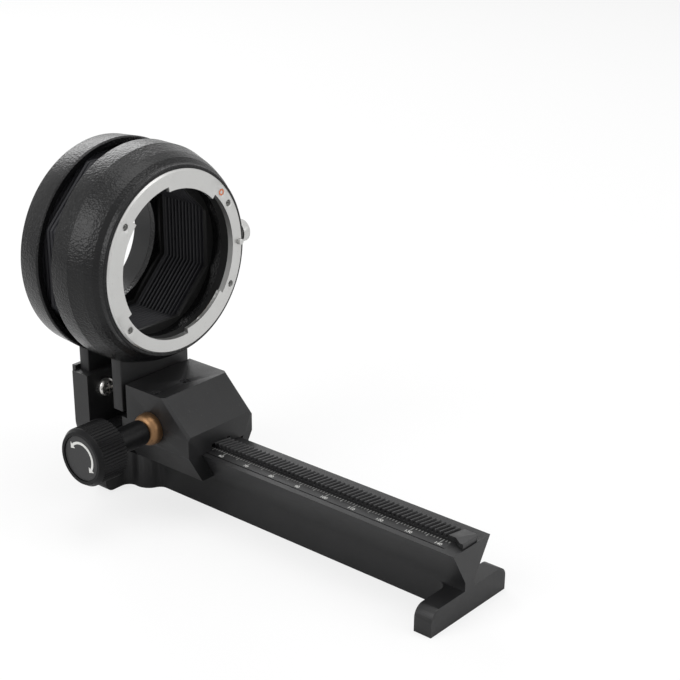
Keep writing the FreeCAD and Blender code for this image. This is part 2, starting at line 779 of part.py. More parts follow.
def make_release_button():
    """Button with a flange that stops it in the collar and a pointed stem."""
    seat = button_centre()
    head = rod(button_radius, button_proud + 0.6, seat - AXIS_X * 0.6, AXIS_X)
    top = max(head.Edges, key=lambda edge: edge.CenterOfMass.x)
    head = head.makeFillet(0.5, [top])
    flange = rod(button_radius + button_flange, 0.5, seat - AXIS_X * 1.1, AXIS_X)
    tip = seat - AXIS_X * button_stem_length
    point = Part.makeCone(0.05, button_stem_radius, button_stem_radius - 0.05, tip, AXIS_X)
    stem_start = tip + AXIS_X * (button_stem_radius - 0.05)
    stem = rod(button_stem_radius, seat.x - 0.6 - stem_start.x, stem_start, AXIS_X)
    return head.fuse([flange, point, stem]).removeSplitter()


def make_rear_standard():
    """Rear ring with its leg."""
    ring = turned([
        (rear_ring_front, rear_cavity_radius), (rear_ring_front, rear_ring_front_radius - edge_break),
        (rear_ring_front + edge_break, rear_ring_front_radius),
        (rear_ring_rear - edge_break, rear_ring_rear_radius),
        (rear_ring_rear, rear_ring_rear_radius - edge_break), (rear_ring_rear, barrel_bore),
        (rear_cavity_station, barrel_bore), (rear_cavity_station, rear_cavity_radius),
    ])
    leg = box(-leg_half, leg_half, at(rear_leg_station), at(rear_leg_rear), rear_leg_bottom, axis_height)
    hollow = rod(rear_cavity_radius + ring_wall / 2, hollow_run,
                 Vector(0, at(rear_leg_station) - hollow_run / 2, axis_height), AXIS_Y)
    standard = ring.fuse(leg.cut(hollow)).removeSplitter()
    for side in (-1, 1):
        hole = Vector(side * screw_spread, at(rear_leg_station) - 1, screw_height)
        standard = standard.cut(rod(screw_shank_radius + seat_gap, 10, hole, AXIS_Y))
    top = Vector(0, at((rear_ring_front + rear_ring_rear) / 2), axis_height)
    standard = standard.cut(rod(rear_grub_radius + seat_gap, pin_run, top, AXIS_Z))
    return standard


def make_barrel():
    """Camera side bayonet: shoulder, barrel and three lugs."""
    end = barrel_end_station
    shape = turned([
        (rear_ring_rear, barrel_bore), (rear_ring_rear, shoulder_radius - register_step),
        (flange_face_station, shoulder_radius - register_step), (flange_face_station, shoulder_radius),
        (flange_face_station + shoulder_height, shoulder_radius),
        (flange_face_station + shoulder_height, barrel_radius), (end, barrel_radius), (end, barrel_bore),
    ])
    for middle in lug_middles:
        lug = sector(end - lug_thickness - 0.2, end - 0.2, lug_radius, barrel_radius - 0.5, middle, lug_span)
        shape = shape.fuse(lug)
    return shape.removeSplitter()


def make_frame(station0, station1, outer):
    """Flat ring with an octagonal window that an end of the bellows is glued to."""
    disc = washer(station0, station1, outer, 0.0)
    window = Part.makeLoft([octagon(station0 - 1, frame_corner_radius),
                            octagon(station1 + 1, frame_corner_radius)],
                           True, True)
    return disc.cut(window)


def pleated(shrink):
    """Solid octagonal zigzag from the front frame to the rear frame."""
    first = frame_front_face
    step = (frame_rear_face - frame_front_face) / (2 * bellows_pleat_count)
    rings = []
    for k in range(2 * bellows_pleat_count + 1):
        reach = bellows_corner_radius if k % 2 else frame_corner_radius + bellows_wall
        rings.append(octagon(first + k * step, reach - shrink))
    return Part.makeLoft(rings, True, True)


def make_bellows():
    """Folded octagonal bellows, one pleat after another."""
    return pleated(0.0).cut(pleated(bellows_wall))


def make_bracket():
    """Block behind the rear foot that holds the rear leg in a channel."""
    front = at(bracket_station)
    rear = at(bracket_rear_station)
    block = box(-foot_half, foot_half, front, rear, bracket_bottom, bracket_top)
    for side, radius in ((-1, bracket_large_corner), (1, bracket_small_corner)):
        corner = [e for e in block.Edges
                  if abs(e.CenterOfMass.z - bracket_bottom) < 0.01
                  and abs(e.CenterOfMass.x - side * foot_half) < 0.01]
        block = block.makeFillet(radius, corner)
    channel = box(-leg_half - seat_gap, leg_half + seat_gap, at(rear_leg_station) - seat_gap, rear + 1,
                  rear_leg_bottom - seat_gap, bracket_top + 1)
    block = block.cut(channel)
    keeper = box(-leg_half - seat_gap, leg_half + seat_gap, at(rear_leg_rear) + seat_gap, rear,
                 rear_leg_bottom - seat_gap, clamp_bottom)
    block = block.fuse(keeper).removeSplitter()
    for side in (-1, 1):
        hole = Vector(side * screw_spread, front - 1, screw_height)
        block = block.cut(rod(screw_shank_radius + seat_gap, 4, hole, AXIS_Y))
    return block


def make_clamp_plate():
    """Plate with a pad that presses the rear leg into its channel."""
    rear = at(bracket_rear_station)
    plate = box(-clamp_half, clamp_half, rear, rear + clamp_thickness, clamp_bottom, clamp_top)
    pad = box(-leg_half + 1, leg_half - 1, at(rear_leg_rear), rear, clamp_bottom + 0.5, bracket_top - 1)
    plate = plate.fuse(pad).removeSplitter()
    for side in (-1, 1):
        hole = Vector(side * screw_spread, rear - 2, screw_height)
        plate = plate.cut(rod(screw_shank_radius + seat_gap, 6, hole, AXIS_Y))
    return plate


def make_knob():
    """Grooved focusing knob with a recess for its disc."""
    inner = Vector(-knob_inner, shaft_y, shaft_height)
    outward = AXIS_X * -1
    grip_length = knob_outer - knob_inner - knob_rim
    grip = grooved_rod(knob_radius, grip_length, inner, outward, knob_groove_count, groove_cut)
    rim = Part.makeCone(knob_radius, knob_radius - 1.0, knob_rim, inner + outward * grip_length, outward)
    knob = grip.fuse(rim).removeSplitter()
    face = inner + outward * (grip_length + knob_rim)
    knob = knob.cut(rod(cap_radius + seat_gap, cap_thickness + cap_recess, face, AXIS_X))
    return knob.cut(rod(shaft_radius + seat_gap, shaft_in_knob, inner, outward))


def make_neck():
    """Plain sleeve between the bush and the knob."""
    start = Vector(-carriage_half - bush_proud - moving_gap, shaft_y, shaft_height)
    length = knob_inner - (carriage_half + bush_proud + moving_gap)
    sleeve = rod(neck_radius, length, start, AXIS_X * -1)
    return sleeve.cut(rod(shaft_radius + seat_gap, length, start, AXIS_X * -1))


def make_bush():
    """Brass bush with a domed flange outside the carriage."""
    mouth = Vector(-carriage_half, shaft_y, shaft_height)
    flange = rod(bush_radius, bush_proud, mouth, AXIS_X * -1)
    edge = min(flange.Edges, key=lambda item: item.CenterOfMass.x)
    flange = flange.makeFillet(min(bush_proud - 0.2, bush_radius / 2), [edge])
    body = rod(bush_body_radius - seat_gap, bush_depth - seat_gap, mouth, AXIS_X)
    hole = rod(shaft_radius + running_gap, bush_depth + bush_proud + 2,
               mouth - AXIS_X * (bush_proud + 1), AXIS_X)
    return flange.fuse(body).removeSplitter().cut(hole)


def make_lock_knob():
    """Fluted lock knob with a smooth outer band."""
    start = lock_seat() + flank_normal * lock_stud_gap
    grip = grooved_rod(lock_knob_radius, lock_knob_length * 0.75, start, flank_normal,
                       lock_knob_flute_count, flute_cut)
    band = rod(lock_knob_radius, lock_knob_length * 0.25, start + flank_normal * lock_knob_length * 0.75,
               flank_normal)
    outer = max(band.Edges, key=lambda edge: edge.CenterOfMass.dot(flank_normal))
    band = band.makeFillet(0.8, [outer])
    return grip.fuse(band).removeSplitter()


def make_lock_stud():
    """Bright stud: thread in the jaw, collar outside."""
    seat = lock_seat()
    reach = gib_back(seat) - 0.1
    thread = rod(lock_thread_radius, reach, seat - flank_normal * reach, flank_normal)
    collar = rod(lock_stud_radius, lock_stud_gap - moving_gap, seat + flank_normal * moving_gap, flank_normal)
    neck = rod(lock_thread_radius, moving_gap, seat, flank_normal)
    return thread.fuse([collar, neck]).removeSplitter()


def make_insert():
    """Brass threaded insert in the tripod boss."""
    body = rod(insert_radius, socket_depth - seat_gap, Vector(0, 0, 0), AXIS_Z)
    return body.cut(rod(socket_radius, socket_depth, Vector(0, 0, 0), AXIS_Z))


def make_leaf_springs():
    """Thin springs behind the mount's tabs."""
    front = mount_face_station + mount_tab_thickness
    springs = []
    for middle, span in tabs:
        springs.append(sector(front, front + leaf_thickness, mount_recess_radius - seat_gap,
                              mount_tab_radius + ledge, middle, leaf_span))
    return Part.makeCompound(springs)


def screws_at(stations_and_directions, length):
    """Pair of pan screws, one each side."""
    station, direction = stations_and_directions
    pair = []
    for side in (-1, 1):
        seat = Vector(side * screw_spread, at(station), screw_height)
        pair.append(pan_screw(seat, direction, screw_head_radius, screw_head_height, screw_shank_radius,
                              length))
    return Part.makeCompound(pair)


save("rail", make_rail())
save("tripod_insert", make_insert())
save("focusing_rack", make_rack())
save("scale_plate", scale_plate(0.0))
save("rear_bracket", make_bracket())
save("clamp_plate", make_clamp_plate())
save("clamp_screws", screws_at((bracket_rear_station + clamp_thickness, AXIS_Y), clamp_screw_length))
save("leg_screws", screws_at((bracket_station, AXIS_Y * -1), leg_screw_length))
save("rear_standard", make_rear_standard())
grub_mouth = Vector(0, at((rear_ring_front + rear_ring_rear) / 2), axis_height + rear_ring_rear_radius - 0.1)
save("rear_grub_screw", grub_screw(grub_mouth, AXIS_Z, rear_grub_radius, ring_wall - 0.2))
flange = turned([
    (rear_ring_rear, shoulder_radius - register_step + seat_gap), (rear_ring_rear, flange_radius + 0.4),
    (flange_face_station - edge_break, flange_radius), (flange_face_station, flange_radius - edge_break),
    (flange_face_station, shoulder_radius + seat_gap),
    (flange_face_station - register_step, shoulder_radius - register_step + seat_gap),
])
save("camera_flange", flange)
save("bayonet_barrel", make_barrel())
save("rear_bellows_frame", make_frame(frame_rear_face, rear_cavity_station, rear_cavity_radius - seat_gap))
save("bellows", make_bellows())
save("front_bellows_frame",
     make_frame(front_cavity_station, frame_front_face, front_cavity_radius - seat_gap))
save("front_standard", make_front_standard())
save("front_leg_screws", screws_at((front_leg_rear, AXIS_Y), front_leg_thickness + screw_depth))
save("lens_mount", make_lens_mount())
save("mount_sleeve",
     washer(mount_seat_station, mount_seat_station + sleeve_length, sleeve_radius, mount_recess_radius))
mount_screws = []
for screw_angle in mount_screw_angles:
    screw_seat = on_circle(screw_angle, mount_screw_circle, mount_face_station + small_screw_sink)
    mount_screws.append(pan_screw(screw_seat, AXIS_Y * -1, small_screw_head, small_screw_head_height,
                                  small_screw_shank, small_screw_length))
save("mount_screws", Part.makeCompound(mount_screws))
save("index_dot", rod(index_radius, 0.5, on_circle(index_angle, index_circle, mount_face_station), AXIS_Y))
save("mount_leaf_springs", make_leaf_springs())
pin_front = on_circle(lock_pin_angle, lock_pin_circle, mount_face_station - lock_pin_proud)
save("lock_pin", rod(lock_pin_radius, lock_pin_length, pin_front, AXIS_Y))
save("lock_block", make_lock_block())
save("lock_spring", make_lock_spring())
save("button_collar", make_button_collar())
save("release_button", make_release_button())
save("carriage", make_carriage())
save("gib", make_gib())
gib_screws = []
for screw_mouth, screw_direction in gib_screw_places():
    screw_length = gib_back(screw_mouth) - 0.4
    gib_screws.append(grub_screw(screw_mouth - screw_direction * 0.4, screw_direction, gib_screw_radius,
                                 screw_length))
save("gib_screws", Part.makeCompound(gib_screws))
top_screws = []
for top_x in (0.0, -top_screw_offset):
    top_mouth = Vector(top_x, at(top_screw_station), carriage_top - grub_sink)
    top_screws.append(grub_screw(top_mouth, AXIS_Z, top_screw_radius, top_screw_depth - grub_sink))
save("carriage_grub_screws", Part.makeCompound(top_screws))
save("lock_stud", make_lock_stud())
save("lock_knob", make_lock_knob())
save("shaft_bush", make_bush())
shaft_start = Vector(carriage_half + shaft_end_proud, shaft_y, shaft_height)
shaft_length = carriage_half + shaft_end_proud + knob_inner + shaft_in_knob
save("pinion_shaft", rod(shaft_radius, shaft_length, shaft_start, AXIS_X * -1))
save("pinion", make_pinion())
save("knob_neck", make_neck())
save("focusing_knob", make_knob())
cap_base = Vector(-knob_outer + cap_recess, shaft_y, shaft_height)
save("knob_disc", rod(cap_radius, cap_thickness, cap_base, AXIS_X))
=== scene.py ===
import json
import logging
import math
from dataclasses import dataclass, field
from enum import Enum

import bmesh
import bpy
from mathutils import Matrix, Vector

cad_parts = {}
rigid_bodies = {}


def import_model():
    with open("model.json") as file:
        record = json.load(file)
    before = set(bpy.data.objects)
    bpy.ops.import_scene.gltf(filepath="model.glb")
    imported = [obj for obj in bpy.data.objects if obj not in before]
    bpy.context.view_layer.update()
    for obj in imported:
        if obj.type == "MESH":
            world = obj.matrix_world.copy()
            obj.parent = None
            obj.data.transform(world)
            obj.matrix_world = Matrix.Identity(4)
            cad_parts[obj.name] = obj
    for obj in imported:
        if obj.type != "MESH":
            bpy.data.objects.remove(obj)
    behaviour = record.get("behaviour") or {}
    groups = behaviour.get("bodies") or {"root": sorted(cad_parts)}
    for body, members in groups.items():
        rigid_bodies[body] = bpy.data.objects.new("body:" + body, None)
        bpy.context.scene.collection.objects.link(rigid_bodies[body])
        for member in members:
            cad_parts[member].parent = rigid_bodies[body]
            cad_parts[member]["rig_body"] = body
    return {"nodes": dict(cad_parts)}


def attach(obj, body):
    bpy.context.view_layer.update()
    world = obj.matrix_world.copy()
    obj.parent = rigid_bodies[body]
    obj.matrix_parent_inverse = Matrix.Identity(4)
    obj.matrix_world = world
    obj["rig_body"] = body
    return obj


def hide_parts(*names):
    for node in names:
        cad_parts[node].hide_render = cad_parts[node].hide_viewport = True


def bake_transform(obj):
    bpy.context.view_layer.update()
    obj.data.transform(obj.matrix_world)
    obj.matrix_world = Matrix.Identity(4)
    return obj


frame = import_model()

log = logging.getLogger("bellows_unit")

MM = 0.001
SOCKET_STATION = 122.4
AXIS_HEIGHT = 75.5
ROOT = "rail_and_rear_standard"
CARRIAGE = "sliding_carriage"
DRIVE = "focus_drive"
LOCK = "lock_screw"
BUTTON = "button"
LENS_LOCK = "lens_lock"

CREASE = 32.0
RING_CREASE = 10.0
CLOTH_CREASE = 60.0
FLAT_WITHIN = 0.4
SAME_POINT = 0.000002
PATCH_SPAN = (0.3, 0.7)
SPECK_SPAN = (0.66, 0.72)


def place(x: float, station: float, z: float) -> Vector:
    """Row position of a point given in mm, with its distance from the rail's front face.

    Args:
        x: Sideways position in mm.
        station: Distance behind the rail's front face in mm.
        z: Height in mm.

    Returns:
        The point in metres.
    """
    return Vector((x * MM, (station - SOCKET_STATION) * MM, z * MM))


def in_scene(name: str, data: bpy.types.ID) -> bpy.types.Object:
    """Put an object into the scene.

    Args:
        name: The object's name.
        data: Its mesh, curve, lamp or camera.

    Returns:
        The new object.
    """
    obj = bpy.data.objects.new(name, data)
    bpy.context.scene.collection.objects.link(obj)
    return obj


class Grain(Enum):
    """The fine surface that a finish has."""

    POWDER = "powder"
    WRINKLE = "wrinkle"
    BRUSHED = "brushed"
    CLOTH = "cloth"


def new_group(name: str, inputs: dict[str, float], outputs: list[str]) -> bpy.types.NodeTree:
    """Empty shader node group with float inputs and outputs.

    Args:
        name: The group's name.
        inputs: Input names with their default values.
        outputs: Output names.

    Returns:
        The node group, with its input and output nodes in it.
    """
    group = bpy.data.node_groups.new(name, "ShaderNodeTree")
    for label, value in inputs.items():
        socket = group.interface.new_socket(label, in_out="INPUT", socket_type="NodeSocketFloat")
        socket.default_value = value
    for label in outputs:
        group.interface.new_socket(label, in_out="OUTPUT", socket_type="NodeSocketFloat")
    group.nodes.new("NodeGroupInput")
    group.nodes.new("NodeGroupOutput")
    return group


@dataclass
class SurfaceEffects:
    """The shared effects that the finishes are mixed from."""

    groups: dict[str, bpy.types.NodeTree] = field(default_factory=dict)
    warp_scale: float = 900.0
    warp_reach: float = 0.0009
    cell_smoothness: float = 0.6
    pebble_scale: float = 3800.0
    pebble_share: float = 0.35
    turning_detail: float = 4.0
    patch_detail: float = 5.0
    speck_scale: float = 1900.0
    speck_detail: float = 2.0

    def build(self) -> None:
        """Make each group once."""
        self.groups["patches"] = self.patches()
        self.groups["powder"] = self.noise_height("powder", 6.0, 0.65)
        self.groups["wrinkle"] = self.wrinkle()
        self.groups["brushed"] = self.brushed()
        self.groups["cloth"] = self.noise_height("cloth", 8.0, 0.55)

    def noise_height(self, name: str, detail: float, roughness: float) -> bpy.types.NodeTree:
        """Height of a fine even grain.

        Args:
            name: The group's name.
            detail: Octaves of the noise.
            roughness: How strong the small octaves are.

        Returns:
            The node group.
        """
        group = new_group(name, {"Scale": 4000.0}, ["Height"])
        nodes, links = group.nodes, group.links
        source, sink = nodes["Group Input"], nodes["Group Output"]
        coords = nodes.new("ShaderNodeTexCoord")
        noise = nodes.new("ShaderNodeTexNoise")
        noise.inputs["Detail"].default_value = detail
        noise.inputs["Roughness"].default_value = roughness
        links.new(coords.outputs["Object"], noise.inputs["Vector"])
        links.new(source.outputs["Scale"], noise.inputs["Scale"])
        links.new(noise.outputs["Fac"], sink.inputs["Height"])
        return group

    def wrinkle(self) -> bpy.types.NodeTree:
        """Height of wrinkle paint: small raised cells with creases between them."""
        group = new_group("wrinkle", {"Scale": 1600.0}, ["Height"])
        nodes, links = group.nodes, group.links
        source, sink = nodes["Group Input"], nodes["Group Output"]
        coords = nodes.new("ShaderNodeTexCoord")
        warp = nodes.new("ShaderNodeTexNoise")
        warp.inputs["Scale"].default_value = self.warp_scale
        push = nodes.new("ShaderNodeVectorMath")
        push.operation = "MULTIPLY_ADD"
        push.inputs[1].default_value = (self.warp_reach,) * 3
        cells = nodes.new("ShaderNodeTexVoronoi")
        cells.feature = "SMOOTH_F1"
        cells.inputs["Smoothness"].default_value = self.cell_smoothness
        fine = nodes.new("ShaderNodeTexNoise")
        fine.inputs["Scale"].default_value = self.pebble_scale
        blend = nodes.new("ShaderNodeMath")
        blend.operation = "MULTIPLY_ADD"
        blend.inputs[1].default_value = self.pebble_share
        links.new(coords.outputs["Object"], warp.inputs["Vector"])
        links.new(warp.outputs["Color"], push.inputs[0])
        links.new(coords.outputs["Object"], push.inputs[2])
        links.new(push.outputs["Vector"], cells.inputs["Vector"])
        links.new(source.outputs["Scale"], cells.inputs["Scale"])
        links.new(coords.outputs["Object"], fine.inputs["Vector"])
        links.new(fine.outputs["Fac"], blend.inputs[0])
        links.new(cells.outputs["Distance"], blend.inputs[2])
        links.new(blend.outputs["Value"], sink.inputs["Height"])
        return group

    def brushed(self) -> bpy.types.NodeTree:
        """Height of fine turning marks, drawn out round the optical axis."""
        group = new_group("brushed", {"Scale": 3000.0}, ["Height"])
        nodes, links = group.nodes, group.links
        source, sink = nodes["Group Input"], nodes["Group Output"]
        coords = nodes.new("ShaderNodeTexCoord")
        centre = nodes.new("ShaderNodeMapping")
        centre.inputs["Location"].default_value = (0.0, 0.0, -AXIS_HEIGHT * MM)
        flat = nodes.new("ShaderNodeVectorMath")
        flat.operation = "MULTIPLY"
        flat.inputs[1].default_value = (1.0, 0.0, 1.0)
        radius = nodes.new("ShaderNodeVectorMath")
        radius.operation = "LENGTH"
        noise = nodes.new("ShaderNodeTexNoise")
        noise.noise_dimensions = "1D"
        noise.inputs["Detail"].default_value = self.turning_detail
        links.new(coords.outputs["Object"], centre.inputs["Vector"])
        links.new(centre.outputs["Vector"], flat.inputs[0])
        links.new(flat.outputs["Vector"], radius.inputs[0])
        links.new(radius.outputs["Value"], noise.inputs["W"])
        links.new(source.outputs["Scale"], noise.inputs["Scale"])
        links.new(noise.outputs["Fac"], sink.inputs["Height"])
        return group

    def patches(self) -> bpy.types.NodeTree:
        """Two masks of handling marks: broad patches, and small specks."""
        group = new_group("patches", {"Scale": 90.0}, ["Broad", "Specks"])
        nodes, links = group.nodes, group.links
        source, sink = nodes["Group Input"], nodes["Group Output"]
        coords = nodes.new("ShaderNodeTexCoord")
        broad = nodes.new("ShaderNodeTexNoise")
        broad.inputs["Detail"].default_value = self.patch_detail
        specks = nodes.new("ShaderNodeTexNoise")
        specks.inputs["Scale"].default_value = self.speck_scale
        specks.inputs["Detail"].default_value = self.speck_detail
        pick = nodes.new("ShaderNodeMapRange")
        pick.inputs["From Min"].default_value = SPECK_SPAN[0]
        pick.inputs["From Max"].default_value = SPECK_SPAN[1]
        links.new(coords.outputs["Object"], broad.inputs["Vector"])
        links.new(coords.outputs["Object"], specks.inputs["Vector"])
        links.new(source.outputs["Scale"], broad.inputs["Scale"])
        links.new(broad.outputs["Fac"], sink.inputs["Broad"])
        links.new(specks.outputs["Fac"], pick.inputs["Value"])
        links.new(pick.outputs["Result"], sink.inputs["Specks"])
        return group


@dataclass(frozen=True)
class Finish:
    """One finish of the real unit, as a procedural material.

    low and high are the paint's or metal's darkest and lightest tones, and speck is that of the dust
    on it. grain_height is in mm.
    """

    name: str
    slot: str
    low: tuple[float, float, float]
    high: tuple[float, float, float]
    speck: tuple[float, float, float]
    metallic: float
    roughness: tuple[float, float]
    grain: Grain
    grain_scale: float
    grain_height: float
    specular: float = 0.5

    def material(self, effects: SurfaceEffects) -> bpy.types.Material:
        """Make the material once and return it.

        Args:
            effects: The shared node groups.

        Returns:
            The material of this finish.
        """
        known = bpy.data.materials.get(self.name)
        if known:
            return known
        material = bpy.data.materials.new(self.name)
        material.use_nodes = True
        nodes, links = material.node_tree.nodes, material.node_tree.links
        shader = nodes["Principled BSDF"]
        shader.inputs["Metallic"].default_value = self.metallic
        shader.inputs["Specular IOR Level"].default_value = self.specular
        marks = nodes.new("ShaderNodeGroup")
        marks.node_tree = effects.groups["patches"]
        tone = nodes.new("ShaderNodeMix")
        tone.data_type = "RGBA"
        tone.inputs["A"].default_value = (*self.low, 1.0)
        tone.inputs["B"].default_value = (*self.high, 1.0)
        dust = nodes.new("ShaderNodeMix")
        dust.data_type = "RGBA"
        dust.inputs["B"].default_value = (*self.speck, 1.0)
        links.new(marks.outputs["Broad"], tone.inputs["Factor"])
        links.new(marks.outputs["Specks"], dust.inputs["Factor"])
        links.new(tone.outputs["Result"], dust.inputs["A"])
        links.new(dust.outputs["Result"], shader.inputs["Base Color"])
        gloss = nodes.new("ShaderNodeMapRange")
        gloss.inputs["From Min"].default_value = PATCH_SPAN[0]
        gloss.inputs["From Max"].default_value = PATCH_SPAN[1]
        gloss.inputs["To Min"].default_value = self.roughness[0]
        gloss.inputs["To Max"].default_value = self.roughness[1]
        links.new(marks.outputs["Broad"], gloss.inputs["Value"])
        links.new(gloss.outputs["Result"], shader.inputs["Roughness"])
        relief = nodes.new("ShaderNodeGroup")
        relief.node_tree = effects.groups[self.grain.value]
        relief.inputs["Scale"].default_value = self.grain_scale
        bump = nodes.new("ShaderNodeBump")
        bump.inputs["Strength"].default_value = 1.0
        bump.inputs["Distance"].default_value = self.grain_height * MM
        links.new(relief.outputs["Height"], bump.inputs["Height"])
        links.new(bump.outputs["Normal"], shader.inputs["Normal"])
        return material


POWDER_BLACK = Finish("powder_black", "black_metal", (0.0075, 0.0075, 0.008), (0.0135, 0.0135, 0.014),
                      (0.022, 0.022, 0.022), 0.0, (0.36, 0.46), Grain.POWDER, 5200.0, 0.035, 0.3)
WRINKLE_BLACK = Finish("wrinkle_black", "black_metal", (0.0035, 0.0035, 0.0038),
                       (0.0065, 0.0065, 0.0068), (0.012, 0.012, 0.012), 0.0, (0.20, 0.27),
                       Grain.WRINKLE, 1600.0, 0.11, 0.24)
BLACKENED = Finish("blackened_steel", "dark_metal", (0.012, 0.012, 0.0125), (0.021, 0.021, 0.022),
                   (0.04, 0.04, 0.04), 0.2, (0.34, 0.44), Grain.POWDER, 6000.0, 0.015, 0.36)
SATIN_CHROME = Finish("satin_chrome", "chrome", (0.47, 0.47, 0.46), (0.55, 0.55, 0.54),
                      (0.41, 0.40, 0.39), 0.88, (0.30, 0.38), Grain.BRUSHED, 5200.0, 0.004)
SCREW_STEEL = Finish("screw_steel", "bright_screws", (0.52, 0.51, 0.49), (0.64, 0.63, 0.61),
                     (0.38, 0.37, 0.35), 0.95, (0.20, 0.32), Grain.POWDER, 3000.0, 0.006)
MOUNT_STEEL = Finish("mount_steel", "chrome", (0.20, 0.20, 0.195), (0.30, 0.30, 0.29),
                     (0.15, 0.15, 0.145), 0.9, (0.24, 0.34), Grain.POWDER, 3000.0, 0.006)
BARE_SPRING = Finish("bare_spring", "spring_steel", (0.36, 0.36, 0.36), (0.48, 0.48, 0.47),
                     (0.30, 0.29, 0.28), 0.95, (0.25, 0.35), Grain.POWDER, 3000.0, 0.004)
COPPER_SCREW = Finish("copper_screw", "copper_screws", (0.17, 0.065, 0.04), (0.27, 0.11, 0.075),
                      (0.08, 0.04, 0.03), 0.8, (0.32, 0.45), Grain.POWDER, 4000.0, 0.01)
BUSH_BRASS = Finish("bush_brass", "brass", (0.16, 0.088, 0.042), (0.25, 0.14, 0.066),
                    (0.10, 0.055, 0.03), 0.85, (0.32, 0.46), Grain.POWDER, 2600.0, 0.015)
KNOB_PLASTIC = Finish("knob_plastic", "black_plastic", (0.0035, 0.0035, 0.0038),
                      (0.0065, 0.0065, 0.0068), (0.014, 0.014, 0.014), 0.0, (0.36, 0.46),
                      Grain.POWDER, 4600.0, 0.02, 0.12)
DISC_BLACK = Finish("disc_black", "black_metal", (0.016, 0.016, 0.0165), (0.024, 0.024, 0.0245),
                    (0.04, 0.04, 0.04), 0.0, (0.44, 0.54), Grain.POWDER, 6000.0, 0.02, 0.3)
MATT_INNER = Finish("matt_inner", "black_metal", (0.006, 0.006, 0.006), (0.011, 0.011, 0.011),
                    (0.014, 0.014, 0.014), 0.0, (0.55, 0.65), Grain.POWDER, 5000.0, 0.03, 0.2)
BELLOWS_CLOTH = Finish("bellows_cloth", "bellows_cloth", (0.003, 0.003, 0.0033),
                       (0.0065, 0.0065, 0.007), (0.014, 0.014, 0.014), 0.0, (0.26, 0.38),
                       Grain.CLOTH, 2400.0, 0.05, 0.3)
INDEX_RED = Finish("index_red", "red_paint", (0.52, 0.12, 0.035), (0.62, 0.16, 0.05),
                   (0.4, 0.09, 0.03), 0.0, (0.35, 0.45), Grain.POWDER, 4000.0, 0.008)
MARK_WHITE = Finish("mark_white", "black_metal", (0.52, 0.52, 0.50), (0.68, 0.68, 0.66),
                    (0.3, 0.3, 0.3), 0.0, (0.5, 0.6), Grain.POWDER, 6000.0, 0.01)
TICK_GREY = Finish("tick_grey", "black_metal", (0.17, 0.17, 0.165), (0.27, 0.27, 0.26),
                   (0.1, 0.1, 0.1), 0.0, (0.5, 0.6), Grain.POWDER, 6000.0, 0.01)


@dataclass
class Workshop:
    """Makes finished objects out of bmesh work and hands them to their bodies."""

    effects: SurfaceEffects

    def add(self, name: str, shape: bmesh.types.BMesh, coat: Finish, body: str,
            sharp: float = CREASE) -> bpy.types.Object:
        """Turn a bmesh into a finished piece that rides on a body.

        Args:
            name: The piece's name.
            shape: Its form, in metres and in place; it is freed.
            coat: Its finish.
            body: The CAD body that it rides on.
            sharp: Edges turned by more degrees than this stay crisp.

        Returns:
            The new object.
        """
        bmesh.ops.recalc_face_normals(shape, faces=shape.faces)
        mesh = bpy.data.meshes.new(name)
        shape.to_mesh(mesh)
        shape.free()
        mesh.shade_smooth()
        mesh.set_sharp_from_angle(angle=math.radians(sharp))
        mesh.materials.append(coat.material(self.effects))
        obj = in_scene(name, mesh)
        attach(obj, body)
        log.info("%s: %d faces", name, len(mesh.polygons))
        return obj

    def eased(self, node: str, coat: Finish, body: str, width: float, segments: int = 2,
              dissolve: bool = True) -> bpy.types.Object:
        """Stand a merged copy with rounded edges in for a CAD node.

        Args:
            node: The CAD node.
            coat: Its finish.
            body: The body that it rides on.
            width: Width of the rounded edges in mm.
            segments: Steps across a rounded edge.
            dissolve: Merge flat neighbours, which faces with a hole in them don't bear.

        Returns:
            The new object.
        """
        shape = bmesh.new()
        shape.from_mesh(frame["nodes"][node].data)
        bmesh.ops.remove_doubles(shape, verts=shape.verts, dist=SAME_POINT)
        if dissolve:
            bmesh.ops.dissolve_limit(shape, angle_limit=math.radians(FLAT_WITHIN),
                                     verts=shape.verts, edges=shape.edges)
        obj = self.add(node + "_eased", shape, coat, body)
        bevel = obj.modifiers.new("eased_edges", "BEVEL")
        bevel.width = width * MM
        bevel.segments = segments
        bevel.limit_method = "ANGLE"
        bevel.angle_limit = math.radians(CREASE)
        bevel.harden_normals = True
        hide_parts(node)
        return obj

    def standard(self, node: str, name: str, body: str, profile: list[tuple[float, float]],
                 leg: tuple[Vector, Vector]) -> None:
        """Make a standard's ring and leg, which together stand in for its casting.

        Args:
            node: The CAD node of the casting.
            name: First word of the two pieces' names.
            body: The body that it rides on.
            profile: The ring's corners, as station and radius in mm.
            leg: Lowest and highest corner of the leg, in metres.
        """
        ring = self.add(name + "_ring", spun(profile), WRINKLE_BLACK, body, RING_CREASE)
        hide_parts(node)
        post = self.add(name + "_leg", block(*leg), POWDER_BLACK, body)
        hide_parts(node)


